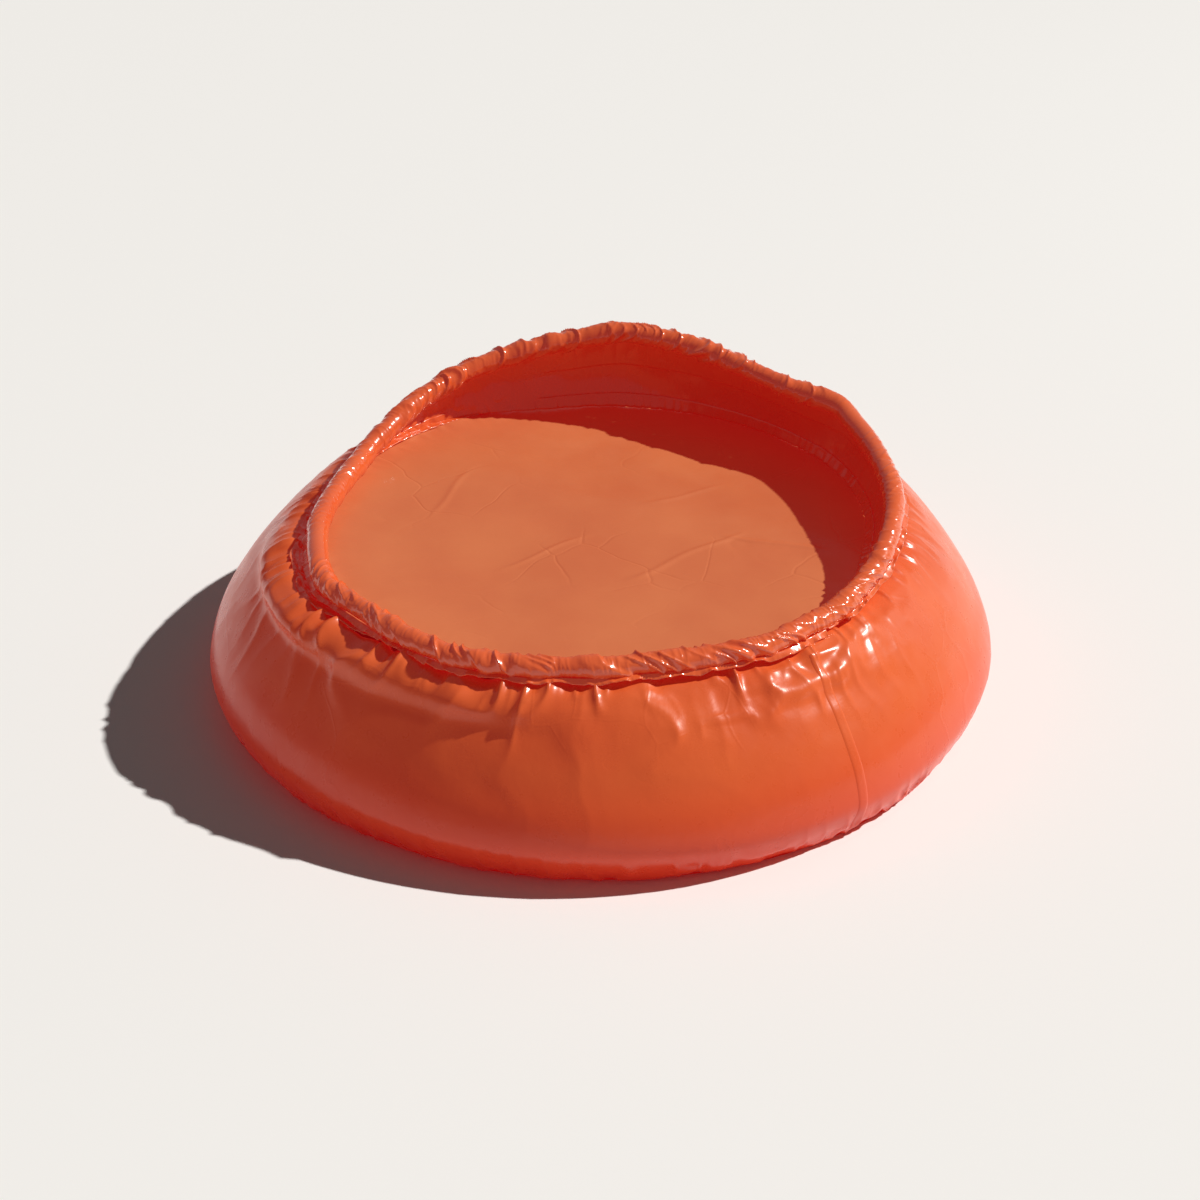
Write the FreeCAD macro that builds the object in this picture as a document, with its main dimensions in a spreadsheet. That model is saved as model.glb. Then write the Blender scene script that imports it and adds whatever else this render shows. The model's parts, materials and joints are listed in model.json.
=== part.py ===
"""Water filled barrier: a round film cushion full of water that carries a limp film collar.

The wide belly rests on the ground.  It is welded shut by a flat base disc and, at shoulder
height, by a flat deck.  The collar stands on the deck's seam and ends in a hem tube with
foam rods in it.  The front of the hem tube lies on the deck, and the back of it is raised
about a straight fold line through two places where the tube holds no rod.
Millimetres, +Z up, origin on the ground under the middle of the belly.
"""
import FreeCAD, Part
import math
import os
import re

import Sketcher

SIZES = {
    # film and welds
    "film_wall": 1.0,
    "weld_width": 18.0,
    "lap_width": 15.0,
    # the cushion
    "belly_radius": 445.0,
    "belly_level": 54.0,
    "base_tuck": 26.0,
    "shoulder_tuck": 100.0,
    "shoulder_level": 189.0,
    "knuckle_turn": 30.0,
    "water_gap": 0.15,
    "belly_lap_azimuth": 308.0,
    # the hem tube, its rods and its fold line
    "ring_tuck": 14.0,
    "ring_shift": 14.0,
    "tube_diameter": 27.0,
    "rod_clearance": 0.3,
    "rest_gap": 0.5,
    "fold_start": -42.0,
    "fold_end": 149.0,
    "fold_tilt": 16.0,
    "fold_gap": 11.0,
    "knot_gap": 1.1,
    "rod_gap": 6.0,
    "rods_back": 4.0,
    "rods_front": 4.0,
    "fin_width": 6.0,
    # the collar
    "collar_foot_tuck": 5.0,
    "collar_lay_width": 44.0,
    "collar_end_turn": 6.0,
    "hem_band_drop": 46.0,
    "hem_band_most_share": 0.5,
    "hem_band_top_share": 0.985,
    "patch_width": 24.0,
    "patch_azimuth": 86.0,
    # the filling valve
    "valve_azimuth": 104.0,
    "valve_level": 122.0,
    "flange_diameter": 62.0,
    "flange_thickness": 1.2,
    "flange_stand": 0.4,
    "neck_diameter": 30.0,
    "neck_height": 14.0,
    "bore_diameter": 20.0,
    "plug_fit": 0.8,
    "plug_length": 5.0,
    "cap_thickness": 4.0,
    "cap_gap": 0.4,
    "cap_room": 1.5,
    "strap_width": 10.0,
    "hinge_reach": 5.0,
    "hinge_root": 3.0,
    "ear_width": 3.0,
    "ear_gap": 0.5,
    "ear_margin": 2.5,
    "ear_drop": 6.0,
    "pin_clearance": 0.06,
    "cut_overrun": 1.0,
}

# Sizes that follow from the ones above, as formulas of the sheet.
DERIVED = {
    "base_radius": "belly_radius - base_tuck",
    "shoulder_radius": "belly_radius - shoulder_tuck",
    "ring_radius": "shoulder_radius - ring_tuck",
    "knuckle_radius": "((belly_radius - base_radius) ^ 2 + (belly_level - 2 * film_wall) ^ 2)"
                      " / (2 * (belly_radius - base_radius))",
    "knee_radius": "belly_radius - knuckle_radius * (1 - cos(knuckle_turn * 1 deg))",
    "knee_level": "belly_level + knuckle_radius * sin(knuckle_turn * 1 deg)",
    "slope_radius": "((knee_radius - shoulder_radius) ^ 2 + (shoulder_level - knee_level) ^ 2)"
                    " / (2 * ((knee_radius - shoulder_radius) * cos(knuckle_turn * 1 deg)"
                    " - (shoulder_level - knee_level) * sin(knuckle_turn * 1 deg)))",
    "deck_top": "shoulder_level + film_wall",
    "weld_top": "deck_top + film_wall",
    "collar_lay_top": "weld_top + rest_gap + film_wall",
    "ring_level": "collar_lay_top + rest_gap + tube_diameter / 2",
    "rod_diameter": "tube_diameter - 2 * film_wall - 2 * rod_clearance",
    "collar_foot_radius": "ring_radius - collar_foot_tuck",
    "hinge_out": "neck_diameter / 2 + hinge_reach",
    "hinge_up": "neck_height + cap_gap + cap_thickness / 2",
    "pin_radius": "cap_thickness / 4",
}

doc = FreeCAD.newDocument("WaterFilledBarrier")
sheet = doc.addObject("Spreadsheet::Sheet", "Sizes")
for row, (alias, content) in enumerate([*SIZES.items(), *DERIVED.items()], start=1):
    sheet.set(f"A{row}", alias)
    sheet.set(f"B{row}", f"={content}" if alias in DERIVED else str(content))
    sheet.setAlias(f"B{row}", alias)
doc.recompute()


def size(alias):
    """The sheet's value of a size, as a plain number."""
    content = sheet.get(alias)
    return float(getattr(content, "Value", content))


def bound(formula):
    """A formula of sizes, written so that other objects can be bound to it."""
    return re.sub(r"[a-z]+(_[a-z]+)+", lambda word: f"Sizes.{word.group()}", formula)


def evaluate(formula):
    """The value of a formula of sizes, as a plain number."""
    content = sheet.evalExpression(bound(formula))
    return float(getattr(content, "Value", content))


def polar(radius, azimuth, level=0.0):
    """The point at this radius, azimuth (degrees from +X towards +Y) and level."""
    turn = math.radians(azimuth)
    return FreeCAD.Vector(radius * math.cos(turn), radius * math.sin(turn), level)


def turned(azimuth):
    """A placement that turns a piece about +Z."""
    return FreeCAD.Placement(FreeCAD.Vector(), FreeCAD.Rotation(FreeCAD.Vector(0, 0, 1), azimuth))


# ------------------------------------------------------- bodies turned from a section

def new_body(label):
    body = doc.addObject("PartDesign::Body", label)
    body.Label = label
    return body


def new_sketch(body, plane="XZ_Plane"):
    """A sketch on one of the body's own origin planes."""
    sketch = body.newObject("Sketcher::SketchObject", f"{body.Name}_section")
    support = [item for item in body.Origin.OriginFeatures if item.Role == plane][0]
    sketch.AttachmentSupport = [(support, "")]
    sketch.MapMode = "FlatFace"
    return sketch


def arc_between(start, finish, radius):
    """The short arc from start to finish; it bulges right of the way, or left if negative."""
    chord = finish.sub(start)
    right = FreeCAD.Vector(chord.y, -chord.x, 0).normalize()
    drop = math.sqrt(radius ** 2 - (chord.Length / 2) ** 2)
    rise = math.copysign(abs(radius) - drop, radius)
    return Part.Arc(start, start.add(chord * 0.5).add(right * rise), finish)


def nearest_end(sketch, geometry, corner):
    """Which end of a curve of the sketch, 1 or 2, lies at the corner."""
    gaps = [sketch.getPoint(geometry, end).sub(corner).Length for end in (1, 2)]
    return 1 + gaps.index(min(gaps))


def draw_outline(sketch, corners):
    """A closed loop through corners (across, up, radius), all formulas of sizes.

    A corner's radius belongs to the run that leaves it, and None makes that run straight.
    """
    points = [FreeCAD.Vector(evaluate(across), evaluate(up), 0) for across, up, _ in corners]
    for start, finish, (_, _, radius) in zip(points, points[1:] + points[:1], corners):
        if radius is None:
            sketch.addGeometry(Part.LineSegment(start, finish))
        else:
            sketch.addGeometry(arc_between(start, finish, evaluate(radius)))
    for run, (across, up, radius) in enumerate(corners):
        end = nearest_end(sketch, run, points[run])
        before = (run - 1) % len(corners)
        before_end = nearest_end(sketch, before, points[run])
        sketch.addConstraint(Sketcher.Constraint("Coincident", before, before_end, run, end))
        for kind, reach, formula in (("DistanceX", points[run].x, across),
                                     ("DistanceY", points[run].y, up)):
            held = sketch.addConstraint(Sketcher.Constraint(kind, -1, 1, run, end, reach))
            sketch.setExpression(f"Constraints[{held}]", bound(formula))
        if radius is not None:
            bend = Sketcher.Constraint("Radius", run, abs(evaluate(radius)))
            sketch.setExpression(f"Constraints[{sketch.addConstraint(bend)}]",
                                 bound(f"abs({radius})"))


def turned_body(label, corners, angle="360", placement=None):
    """A body made by turning an outline about its Z axis, through a formula of an angle."""
    body = new_body(label)
    sketch = new_sketch(body)
    draw_outline(sketch, corners)
    turn = body.newObject("PartDesign::Revolution", f"{label}_turn")
    turn.Profile = sketch
    turn.ReferenceAxis = (sketch, ["V_Axis"])
    turn.Angle = evaluate(angle)
    turn.setExpression("Angle", bound(angle))
    turn.Midplane = angle != "360"
    body.Tip = turn
    if placement is not None:
        body.Placement = placement
    return body


def flat_ring(label, inner, outer, bottom, top):
    """A flat ring, or a disc where the inner radius is nought."""
    corners = [(inner, bottom, None), (outer, bottom, None), (outer, top, None), (inner, top, None)]
    return turned_body(label, corners)


# ------------------------------------------------------- the cushion

def wall_section(outer, thickness):
    """The belly wall's section: how far its outer face is moved in, and how thick it is."""
    inner = f"({outer} + {thickness})"
    return [
        (f"base_radius - {outer}", "2 * film_wall", "knuckle_radius"),
        (f"knee_radius - {outer}", "knee_level", "slope_radius"),
        (f"shoulder_radius - {outer}", "shoulder_level", None),
        (f"shoulder_radius - {inner}", "shoulder_level", "-slope_radius"),
        (f"knee_radius - {inner}", "knee_level", "-knuckle_radius"),
        (f"base_radius - {inner}", "2 * film_wall", None),
    ]


def make_cushion():
    """The welded bag: two discs, a bellied wall, their seams and the water inside."""
    flat_ring("base_disc", "0", "base_radius", "0", "film_wall")
    flat_ring("base_weld_flange", "base_radius - weld_width", "base_radius",
              "film_wall", "2 * film_wall")
    wall = turned_body("belly_wall_whole", wall_section("0", "film_wall"))
    flat_ring("deck_membrane", "0", "shoulder_radius + 2 * film_wall",
              "shoulder_level", "deck_top")
    flat_ring("shoulder_weld_band", "shoulder_radius + 3 * film_wall - weld_width",
              "shoulder_radius + 3 * film_wall", "deck_top", "weld_top")
    lap = wall_section("-film_wall", "film_wall")
    turned_body("belly_lap_seam", lap, "lap_width / shoulder_radius * 180 / pi",
                turned(size("belly_lap_azimuth")))
    # The water stands a little inside the film, and fills it from the flange to the deck.
    gap = "(film_wall + water_gap)"
    turned_body("water_ballast", [
        ("0", "2 * film_wall", None),
        (f"base_radius - {gap}", "2 * film_wall", "knuckle_radius"),
        (f"knee_radius - {gap}", "knee_level", "slope_radius"),
        (f"shoulder_radius - {gap}", "shoulder_level", None),
        ("0", "shoulder_level", None),
    ])
    return wall


# ------------------------------------------------------- the ring of the hem tube

def fold_points():
    """The two points of the fold line, on the ring's centre line, and the ring's centre."""
    centre = FreeCAD.Vector(0, -size("ring_shift"), size("ring_level"))
    right = centre.add(polar(size("ring_radius"), size("fold_start")))
    left = centre.add(polar(size("ring_radius"), size("fold_end")))
    return right, left, centre


def ring_placement(azimuth, raised):
    """Put a ring piece drawn from azimuth 0 about its own Z axis on the ring.

    The raised part is turned about the fold line, back side up.
    """
    right, left, centre = fold_points()
    flat = FreeCAD.Placement(centre, FreeCAD.Rotation(FreeCAD.Vector(0, 0, 1), azimuth))
    if not raised:
        return flat
    fold = FreeCAD.Rotation(right.sub(left), size("fold_tilt"))
    return FreeCAD.Placement(FreeCAD.Vector(), fold, right).multiply(flat)


def ring_point(azimuth, offset=0.0, lift=0.0):
    """A point of the raised ring: this far out from its centre line and above its plane."""
    local = FreeCAD.Vector(size("ring_radius") + offset, 0, lift)
    return ring_placement(azimuth, True).multVec(local)


def torus_piece(label, diameter, start, angle, raised):
    """A bent round bar of the ring: diameter and angle are formulas of sizes."""
    bar = doc.addObject("Part::Torus", label)
    bar.Label = label
    bar.setExpression("Radius1", bound("ring_radius"))
    bar.setExpression("Radius2", bound(f"({diameter}) / 2"))
    bar.setExpression("Angle3", bound(angle))
    bar.Placement = ring_placement(start, raised)
    return bar


def make_ring_half(side, start, finish, rods, raised, first_rod):
    """One rigid run of the ring: a hem sleeve, its weld fin and the foam rods in it."""
    end_turn = "(fold_gap / ring_radius * 180 / pi)"
    span = f"({finish} - {start} - 2 * {end_turn})"
    begin = evaluate(f"{start} + {end_turn}")
    outer = torus_piece(f"{side}_sleeve_outside", "tube_diameter", begin, span, raised)
    inner = torus_piece(f"{side}_sleeve_inside", "tube_diameter - 2 * film_wall", begin, span,
                        raised)
    sleeve = doc.addObject("Part::Cut", f"hem_sleeve_{side}")
    sleeve.Label = f"hem_sleeve_{side}"
    sleeve.Base = outer
    sleeve.Tool = inner
    reach = "ring_radius + tube_diameter / 2"
    fin = [(reach, "-film_wall / 2", None),
           (f"{reach} + fin_width", "-film_wall / 2", None),
           (f"{reach} + fin_width", "film_wall / 2", None),
           (reach, "film_wall / 2", None)]
    middle = evaluate(f"({start} + {finish}) / 2")
    turned_body(f"hem_weld_fin_{side}", fin, f"{span} - {end_turn}",
                ring_placement(middle, raised))
    gap_turn = "(rod_gap / ring_radius * 180 / pi)"
    pitch = f"({span} / {rods})"
    for rod in range(int(evaluate(rods))):
        rod_start = evaluate(f"{start} + {end_turn} + {pitch} * {rod} + {gap_turn} / 2")
        torus_piece(f"rim_float_{first_rod + rod}", "rod_diameter", rod_start,
                    f"{pitch} - {gap_turn}", raised)


def make_fold_knots():
    """The bunched film of the hem tube where it holds no rod, one at each end of the fold."""
    right, left, _ = fold_points()
    for label, point in (("hem_fold_right", right), ("hem_fold_left", left)):
        knot = doc.addObject("Part::Sphere", label)
        knot.Label = label
        knot.setExpression("Radius", bound("fold_gap - knot_gap"))
        knot.Placement.Base = point


# ------------------------------------------------------- the collar

def film_band(label, start, finish, foot, head, thickness, sections=25):
    """A standing film between two curves, as a loft of thin upright sections.

    foot and head give the film's outer edges at an azimuth, and the thickness goes inwards.
    """
    wires = []
    for step in range(sections):
        azimuth = start + (finish - start) * step / (sections - 1)
        low, high = foot(azimuth), head(azimuth)
        inward = polar(-thickness, azimuth)
        corners = [low, high, high.add(inward), low.add(inward), low]
        wires.append(Part.makePolygon(corners))
    band = doc.addObject("Part::Feature", label)
    band.Label = label
    band.Shape = Part.makeLoft(wires, True, False)
    return band


def make_collar():
    """The limp wall on the deck's seam: raised at the back, laid flat under the tube in front."""
    film = size("film_wall")
    gap = size("rest_gap")
    tube = size("tube_diameter") / 2
    start = size("fold_start") + size("collar_end_turn")
    finish = size("fold_end") - size("collar_end_turn")
    foot_level = size("weld_top") + gap / 2

    def foot(azimuth):
        return polar(size("collar_foot_radius"), azimuth, foot_level)

    def head(azimuth):
        return ring_point(azimuth, 0.0, -tube - gap)

    film_band("collar_back", start, finish, foot, head, film)

    def between(azimuth, share):
        low, high = foot(azimuth), head(azimuth)
        return low.add(high.sub(low) * share)

    def band_head(azimuth):
        share = size("hem_band_top_share")
        return between(azimuth, share).add(polar(-film - gap / 2, azimuth))

    def band_foot(azimuth):
        wall = head(azimuth).sub(foot(azimuth)).Length
        drop = min(size("hem_band_drop"), size("hem_band_most_share") * wall)
        return between(azimuth, 1 - drop / wall).add(polar(-film - gap / 2, azimuth))

    film_band("hem_band_back", start, finish, band_foot, band_head, film)

    def patch_head(azimuth):
        return band_head(azimuth).add(polar(-film - gap / 2, azimuth)).sub(
            FreeCAD.Vector(0, 0, film))

    def patch_foot(azimuth):
        return band_foot(azimuth).add(polar(-film - gap / 2, azimuth))

    half = math.degrees(size("patch_width") / 2 / size("ring_radius"))
    film_band("collar_lap_patch", size("patch_azimuth") - half, size("patch_azimuth") + half,
              patch_foot, patch_head, film, sections=5)
    # The slack front of the collar lies folded flat between the deck and the hem tube.
    slack = [("collar_foot_radius - collar_lay_width / 2", "weld_top + rest_gap", None),
             ("collar_foot_radius + collar_lay_width / 2", "weld_top + rest_gap", None),
             ("collar_foot_radius + collar_lay_width / 2", "collar_lay_top", None),
             ("collar_foot_radius - collar_lay_width / 2", "collar_lay_top", None)]
    middle = evaluate("(fold_start + fold_end) / 2 + 180")
    turned_body("collar_front", slack, "360 - (fold_end - fold_start) - 2 * collar_end_turn",
                turned(middle))


# ------------------------------------------------------- the filling valve

def valve_frame():
    """The valve's own frame: on the wall's outside, +Z off the wall and +X down its slope."""
    turn = math.radians(size("knuckle_turn"))
    centre = FreeCAD.Vector(size("knee_radius") - size("slope_radius") * math.cos(turn), 0,
                            size("knee_level") - size("slope_radius") * math.sin(turn))
    rise = size("valve_level") - centre.z
    reach = math.sqrt(size("slope_radius") ** 2 - rise ** 2)
    lean = 90 - math.degrees(math.atan2(rise, reach))
    seat = FreeCAD.Vector(centre.x + reach, 0, size("valve_level"))
    upright = FreeCAD.Placement(seat, FreeCAD.Rotation(FreeCAD.Vector(0, 1, 0), lean))
    return turned(size("valve_azimuth")).multiply(upright)


def valve_bit(kind, label, place, rotation=FreeCAD.Rotation(), **formulas):
    """A primitive of the valve: its place and its sizes are formulas of sizes."""
    bit = doc.addObject(f"Part::{kind}", label)
    for name, formula in formulas.items():
        bit.setExpression(name, bound(formula))
    local = FreeCAD.Placement(FreeCAD.Vector(*[evaluate(part) for part in place]), rotation)
    bit.Placement = valve_frame().multiply(local)
    return bit


def joined(kind, label, bits):
    """A boolean of several bits: a MultiFuse of them all, or the first Cut by the second."""
    result = doc.addObject(f"Part::{kind}", label)
    result.Label = label
    if kind == "MultiFuse":
        result.Shapes = bits
        result.Refine = True
    else:
        result.Base, result.Tool = bits
    return result


ACROSS = FreeCAD.Rotation(FreeCAD.Vector(1, 0, 0), -90)


def make_valve(wall):
    """A low flanged neck, a hinged stopper cap and the hole through the belly wall."""
    flange = valve_bit("Cylinder", "valve_flange", ("0", "0", "flange_stand"),
                       Radius="flange_diameter / 2", Height="flange_thickness")
    neck = valve_bit("Cylinder", "valve_neck", ("0", "0", "flange_stand"),
                     Radius="neck_diameter / 2", Height="neck_height - flange_stand")
    ears = []
    for side, near in (("low", "-strap_width / 2 - ear_gap - ear_width"),
                       ("high", "strap_width / 2 + ear_gap")):
        ears.append(valve_bit("Box", f"valve_ear_{side}",
                              ("-hinge_out - ear_margin", near, "hinge_up - ear_drop"),
                              Length="hinge_reach + ear_margin + hinge_root",
                              Width="ear_width", Height="ear_drop + ear_margin"))
    pin = valve_bit("Cylinder", "valve_pin",
                    ("-hinge_out", "-strap_width / 2 - ear_width", "hinge_up"), ACROSS,
                    Radius="pin_radius", Height="strap_width + 2 * ear_width")
    body = joined("MultiFuse", "valve_solid", [flange, neck, pin, *ears])
    bore = valve_bit("Cylinder", "valve_bore", ("0", "0", "-cut_overrun"),
                     Radius="bore_diameter / 2", Height="neck_height + 2 * cut_overrun")
    room = valve_bit("Cylinder", "valve_cap_room", ("0", "0", "neck_height"),
                     Radius="neck_diameter / 2 + cap_room", Height="cap_thickness + ear_drop")
    bored = joined("Cut", "valve_bored", [body, bore])
    joined("Cut", "fill_valve_body", [bored, room])

    lid = valve_bit("Cylinder", "cap_lid", ("0", "0", "neck_height + cap_gap"),
                    Radius="neck_diameter / 2", Height="cap_thickness")
    plug = valve_bit("Cylinder", "cap_plug", ("0", "0", "neck_height - plug_length"),
                     Radius="bore_diameter / 2 - plug_fit",
                     Height="plug_length + cap_gap + cap_thickness / 4")
    strap = valve_bit("Box", "cap_strap",
                      ("-hinge_out", "-strap_width / 2", "neck_height + cap_gap"),
                      Length="hinge_reach + hinge_root", Width="strap_width",
                      Height="cap_thickness")
    barrel = valve_bit("Cylinder", "cap_barrel", ("-hinge_out", "-strap_width / 2", "hinge_up"),
                       ACROSS, Radius="cap_thickness / 2", Height="strap_width")
    cap = joined("MultiFuse", "cap_solid", [lid, plug, strap, barrel])
    hole = valve_bit("Cylinder", "cap_pin_hole",
                     ("-hinge_out", "-strap_width / 2 - cut_overrun", "hinge_up"), ACROSS,
                     Radius="pin_radius + pin_clearance", Height="strap_width + 2 * cut_overrun")
    joined("Cut", "fill_valve_cap", [cap, hole])

    drill = valve_bit("Cylinder", "belly_wall_hole", ("0", "0", "-3 * film_wall"),
                      Radius="bore_diameter / 2", Height="6 * film_wall")
    joined("Cut", "belly_wall", [wall, drill])


# ------------------------------------------------------- build, check and write

NODES = ["base_disc", "base_weld_flange", "belly_wall", "belly_lap_seam", "deck_membrane",
         "shoulder_weld_band", "water_ballast", "collar_back", "hem_band_back",
         "collar_lap_patch", "collar_front", "hem_fold_right", "hem_fold_left",
         "hem_sleeve_back", "hem_weld_fin_back", "hem_sleeve_front", "hem_weld_fin_front",
         "fill_valve_body", "fill_valve_cap"]


def main():
    wall = make_cushion()
    make_ring_half("back", "fold_start", "fold_end", "rods_back", True, 1)
    make_ring_half("front", "fold_end", "(fold_start + 360)", "rods_front", False,
                   1 + int(size("rods_back")))
    make_fold_knots()
    make_collar()
    make_valve(wall)
    doc.recompute()
    rods = int(size("rods_back") + size("rods_front"))
    nodes = NODES + [f"rim_float_{rod + 1}" for rod in range(rods)]
    failed = [item.Name for item in doc.Objects
              if {"Invalid", "Error"} & set(item.State)]
    if failed:
        raise RuntimeError(f"these objects failed: {failed}")
    os.makedirs("parts", exist_ok=True)
    pieces = {item.Label: item for item in doc.Objects if item.Label in nodes}
    for node in nodes:
        shape = pieces[node].Shape
        if shape.isNull() or not shape.isValid() or not shape.Solids:
            raise RuntimeError(f"{node} has no valid solid")
    for node in nodes:
        pieces[node].Shape.exportStep(f"parts/{node}.step")
        print(f"{node:22s} {pieces[node].Shape.Volume / 1000:12.2f} cm3")


main()
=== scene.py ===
"""The looks of a water filled barrier: a film cushion full of water with a limp film collar.

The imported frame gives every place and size.  Each film piece is a surface worked out as a
function of two parameters on a grid, puckered where a weld gathers it.
"""
import json
import math

import bpy
import numpy as np
from bpy.props import FloatProperty, FloatVectorProperty, IntProperty, PointerProperty
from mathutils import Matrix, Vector


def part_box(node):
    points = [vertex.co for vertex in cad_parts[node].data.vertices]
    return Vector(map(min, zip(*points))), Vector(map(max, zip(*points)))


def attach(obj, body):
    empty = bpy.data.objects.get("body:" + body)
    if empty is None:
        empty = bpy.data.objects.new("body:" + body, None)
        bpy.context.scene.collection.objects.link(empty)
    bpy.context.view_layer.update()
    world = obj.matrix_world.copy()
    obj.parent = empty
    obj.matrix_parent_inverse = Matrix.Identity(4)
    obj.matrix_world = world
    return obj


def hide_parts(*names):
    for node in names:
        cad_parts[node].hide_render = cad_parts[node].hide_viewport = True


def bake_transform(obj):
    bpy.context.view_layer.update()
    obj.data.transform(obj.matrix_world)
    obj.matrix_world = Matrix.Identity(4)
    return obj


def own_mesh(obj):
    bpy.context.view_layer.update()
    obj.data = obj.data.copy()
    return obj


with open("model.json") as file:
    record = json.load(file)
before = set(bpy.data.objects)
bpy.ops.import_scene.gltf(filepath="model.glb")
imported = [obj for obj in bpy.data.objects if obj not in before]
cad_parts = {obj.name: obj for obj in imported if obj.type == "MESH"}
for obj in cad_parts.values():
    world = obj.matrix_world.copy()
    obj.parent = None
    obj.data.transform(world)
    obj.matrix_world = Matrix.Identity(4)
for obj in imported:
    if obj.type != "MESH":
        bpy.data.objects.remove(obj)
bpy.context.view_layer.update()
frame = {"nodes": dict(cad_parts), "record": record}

bl_info = {
    "name": "Water Filled Barrier",
    "version": (1, 0, 0),
    "blender": (4, 5, 0),
    "location": "View3D > Sidebar > Barrier",
    "description": "Builds the film, collar, hem tube and stage of a water filled barrier",
    "category": "Object",
}

TURN = 2 * math.pi

# Where the hem tube bends between its straighter runs, in degrees from +X towards +Y.
# None is the left end of the fold line; that and the right end come from the frame.
RUN_BENDS = (29.0, 86.0, 133.0, None, 207.0, 257.0)

# The belly's section as shares of its widest radius and of the shoulder's height.
BELLY_SECTION = ((0.865, 0.004), (0.940, 0.008), (0.968, 0.075), (0.991, 0.175), (1.000, 0.275),
                 (0.982, 0.430), (0.950, 0.565), (0.913, 0.695), (0.875, 0.815), (0.842, 0.912),
                 (0.815, 0.970), (0.790, 1.006), (0.768, 1.025), (0.752, 1.026), (0.742, 1.010),
                 (0.735, 0.990))

# How far the shoulder's edge stands out of its circle: azimuth in degrees, millimetres.
SHOULDER_COURSE = ((-11, -7), (-22, -8), (-35, -3), (-47, 2), (-57, 0), (-66, -4), (-74, -7),
                   (-82, -7), (-91, -2), (-99, 6), (-108, 12), (-116, 17), (-128, 16), (-138, 15),
                   (-147, 26), (-153, 28), (-160, 24), (-167, 17), (-176, 9), (-190, -6),
                   (-203, -3), (-220, 0), (-330, 0), (-350, -3))

# How far the hem tube leaves its ring of chords: azimuth, millimetres out and up.
RING_COURSE = ((-36, 4, -3), (-29, 13, -6), (-23, 22, -5), (-15, 27, -4), (-6, 27, -5), (0, 23, -6),
               (8, 15, -12), (16, 9, -19), (26, -2, -27), (33, -5, -26), (42, -14, -24),
               (52, -14, -19), (61, -8, -14), (69, -2, -9), (76, -3, -5), (83, -7, 0), (89, -6, 0),
               (97, 2, 0), (105, 9, 0), (113, 13, 0), (119, 13, 0), (126, 6, 0), (134, -5, 0),
               (146, -9, 0), (155, -9, 0), (164, -4, 0), (173, 1, 0), (181, 7, 0), (197, 7, 0),
               (205, 4, 0), (213, 3, 0), (220, 6, 0), (230, 15, 0), (241, 17, 0), (247, 12, 0),
               (253, 2, 0), (260, -4, 0), (267, 4, 0), (279, 4, 0), (288, 9, 0), (304, 10, 0),
               (311, -2, 0), (318, -10, 0))


# ------------------------------------------------------------------ measures of the frame

def box(node):
    low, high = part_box(node)
    return np.array(low), np.array(high)


class Frame:
    """The few lengths that every piece is worked out from, read once from the CAD nodes."""

    belly_radius = box("belly_wall")[1][0]
    shoulder_level = box("belly_wall")[1][2]
    deck_level = box("deck_membrane")[1][2]
    weld_level = box("shoulder_weld_band")[1][2]
    tube_radius = (box("hem_sleeve_front")[1][2] - box("hem_sleeve_front")[0][2]) / 2
    ring_level = (box("hem_sleeve_front")[1][2] + box("hem_sleeve_front")[0][2]) / 2
    fold_right = sum(box("hem_fold_right")) / 2
    fold_left = sum(box("hem_fold_left")) / 2
    foot_level = box("collar_back")[0][2]


def ring_circle():
    """The ring's centre and radius: the circle through both fold ends, centred on x = 0."""
    right, left = Frame.fold_right, Frame.fold_left
    centre_y = ((right[:2] ** 2).sum() - (left[:2] ** 2).sum()) / (2 * (right[1] - left[1]))
    return centre_y, math.hypot(right[0], right[1] - centre_y)


RING_Y, RING_RADIUS = ring_circle()
LIP_RADIUS = BELLY_SECTION[-1][0] * Frame.belly_radius


def azimuth_of(point):
    return math.degrees(math.atan2(point[1] - RING_Y, point[0]))


FOLD_START = azimuth_of(Frame.fold_right)
FOLD_END = azimuth_of(Frame.fold_left)
FOLD_LINE = Frame.fold_right - Frame.fold_left
FOLD_AXIS = FOLD_LINE / np.linalg.norm(FOLD_LINE)


def fold_tilt():
    """The raised run's lean about the fold line, from how high its tube stands."""
    reach = RING_RADIUS * (1 - math.cos(math.radians((FOLD_END - FOLD_START) / 2)))
    climb = box("hem_sleeve_back")[1][2] - Frame.ring_level - Frame.tube_radius
    return math.asin(climb / reach)


FOLD_TILT = fold_tilt()

LAP_MIDDLE = sum(box("belly_lap_seam")) / 2
LAP_AZIMUTH = math.degrees(math.atan2(LAP_MIDDLE[1], LAP_MIDDLE[0]))
LAP_HALF_WIDTH = 0.95           # degrees
BASE_EDGE = 0.033               # along the section from its inner end to the base weld's edge
WATER_SHARE = (0.972, 0.93)     # the water's radius and height as shares of the film's
LIP_DEPTH = 0.024               # the section's last stretch, where folds keep their full height
BELLY_MAP_RADIUS = 0.42         # one turn of the belly's map is a circle of this radius


# ------------------------------------------------------------------ noise and folds

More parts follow.
